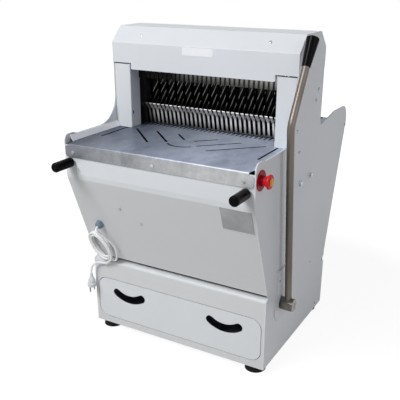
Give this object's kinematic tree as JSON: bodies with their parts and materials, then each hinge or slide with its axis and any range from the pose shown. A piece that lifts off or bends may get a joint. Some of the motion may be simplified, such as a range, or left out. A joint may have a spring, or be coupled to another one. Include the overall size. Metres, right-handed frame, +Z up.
{
  "type": "bread slicer",
  "caption": "Counter-top bread slicer: reciprocating blade frames, a lever-driven comb pusher, a steel table with crumb slots, and a crumb drawer.",
  "frame": {"origin": "bottom middle of the machine's bounding box, on the floor under its feet, measured without the cord", "axes": "+Z up, -Y to the operator, where the table and the drawer are, +X to the lever's side"},
  "size_m": [0.6108, 0.7214, 0.8743],
  "materials": {
    "white_paint": "satin light grey paint",
    "stainless": "brushed",
    "blade_steel": "ground",
    "galvanised": "zinc plated",
    "bright_steel": "drawn",
    "dark_plate": "satin",
    "cast_parts": "painted",
    "bush_plastic": "matt",
    "black_plastic": "matt",
    "belt_rubber": "matt",
    "foot_rubber": "matt",
    "stop_base": "gloss",
    "stop_red": "gloss",
    "gland_grey": "satin",
    "cord_white": "satin",
    "name_foil": "satin",
    "type_foil": "satin"
  },
  "bodies": {
    "frame": {"left_side_panel": "white_paint", "right_side_panel": "white_paint", "hood": "white_paint", "left_front_post": "white_paint", "right_front_post": "white_paint", "left_rear_post": "white_paint", "right_rear_post": "white_paint", "table_top": "stainless", "left_table_strip": "stainless", "right_table_strip": "stainless", "front_panel": "white_paint", "base_bezel": "white_paint", "base_floor": "galvanised", "rear_panel": "white_paint", "feed_bed": "stainless", "drawer_runners": "galvanised", "upper_blade_guide": "stainless", "left_frame_guide": "bush_plastic", "right_frame_guide": "bush_plastic", "drive_shelf": "galvanised", "crank_bearings": "cast_parts", "motor": "cast_parts", "drive_belt": "belt_rubber", "shaft_bearings": "bush_plastic", "lever_cover_plate": "dark_plate", "left_pusher_rail": "galvanised", "right_pusher_rail": "galvanised", "estop_base": "stop_base", "handle_studs": "bright_steel", "left_handle_grip": "black_plastic", "right_handle_grip": "black_plastic", "rubber_feet": "foot_rubber", "cable_gland": "gland_grey", "cord_run": "cord_white", "cord_coil": "cord_white", "cord_tail": "cord_white", "plug": "cord_white", "name_plate": "name_foil", "type_plate": "type_foil"},
    "drawer": {"drawer_front": "white_paint", "drawer_tray": "stainless"},
    "crank": {"crankshaft": "bright_steel", "crank_pulley": "cast_parts"},
    "rod_a": {"connecting_rod_a": "bright_steel"},
    "rod_b": {"connecting_rod_b": "bright_steel"},
    "frame_a": {"blade_frame_a": "galvanised", "blades_a": "blade_steel"},
    "frame_b": {"blade_frame_b": "galvanised", "blades_b": "blade_steel"},
    "motor_rotor": {"motor_pulley": "cast_parts"},
    "lever": {"lever_shaft": "bright_steel", "left_lever_arm": "galvanised", "right_lever_arm": "galvanised", "lever_hub": "bright_steel", "lever_rod": "bright_steel", "lever_grip": "black_plastic"},
    "pusher": {"pusher_carriage": "galvanised", "pusher_comb": "stainless"},
    "stop_button": {"estop_button": "stop_red"}
  },
  "joints": [
    {"name": "drawer_slide", "type": "slide", "parent": "frame", "child": "drawer", "axis": [0, -1, 0], "range_m": [0, 0.34]},
    {"name": "lever_turn", "type": "hinge", "parent": "frame", "child": "lever", "pos_m": [0.25875, -0.10175, 0.1805], "axis": [-1, 0, 0], "range_deg": [0, 36.92]},
    {"name": "pusher_slide", "type": "slide", "parent": "frame", "child": "pusher", "axis": [0, 1, 0], "range_m": [0, 0.24]},
    {"name": "crank_turn", "type": "hinge", "parent": "frame", "child": "crank", "pos_m": [-0.02025, 0.03625, 0.33], "axis": [1, 0, 0], "continuous": true},
    {"name": "rod_a_swing", "type": "hinge", "parent": "crank", "child": "rod_a", "pos_m": [-0.05525, 0.02125, 0.33], "axis": [1, 0, 0], "continuous": true},
    {"name": "rod_b_swing", "type": "hinge", "parent": "crank", "child": "rod_b", "pos_m": [0.01475, 0.05125, 0.33], "axis": [1, 0, 0], "continuous": true},
    {"name": "motor_turn", "type": "hinge", "parent": "frame", "child": "motor_rotor", "pos_m": [-0.13625, 0.17125, 0.29], "axis": [1, 0, 0], "continuous": true},
    {"name": "frame_a_slide", "type": "slide", "parent": "frame", "child": "frame_a", "axis": [0, 0, 1], "range_m": [-0.015, 0.015]},
    {"name": "frame_b_slide", "type": "slide", "parent": "frame", "child": "frame_b", "axis": [0, 0, 1], "range_m": [-0.015, 0.015]},
    {"name": "stop_push", "type": "slide", "parent": "frame", "child": "stop_button", "axis": [-1, 0, 0], "range_m": [0, 0.005], "stiffness_N_per_m": 1500}
  ],
  "couplings": [
    {"joint": "pusher_slide", "follows": "lever_turn", "m_per_rad": 0.3724},
    {"joint": "rod_a_swing", "follows": "crank_turn", "ratio": -1},
    {"joint": "rod_b_swing", "follows": "crank_turn", "ratio": -1},
    {"joint": "motor_turn", "follows": "crank_turn", "ratio": 4},
    {"joint": "frame_b_slide", "follows": "frame_a_slide", "ratio": -1}
  ]
}
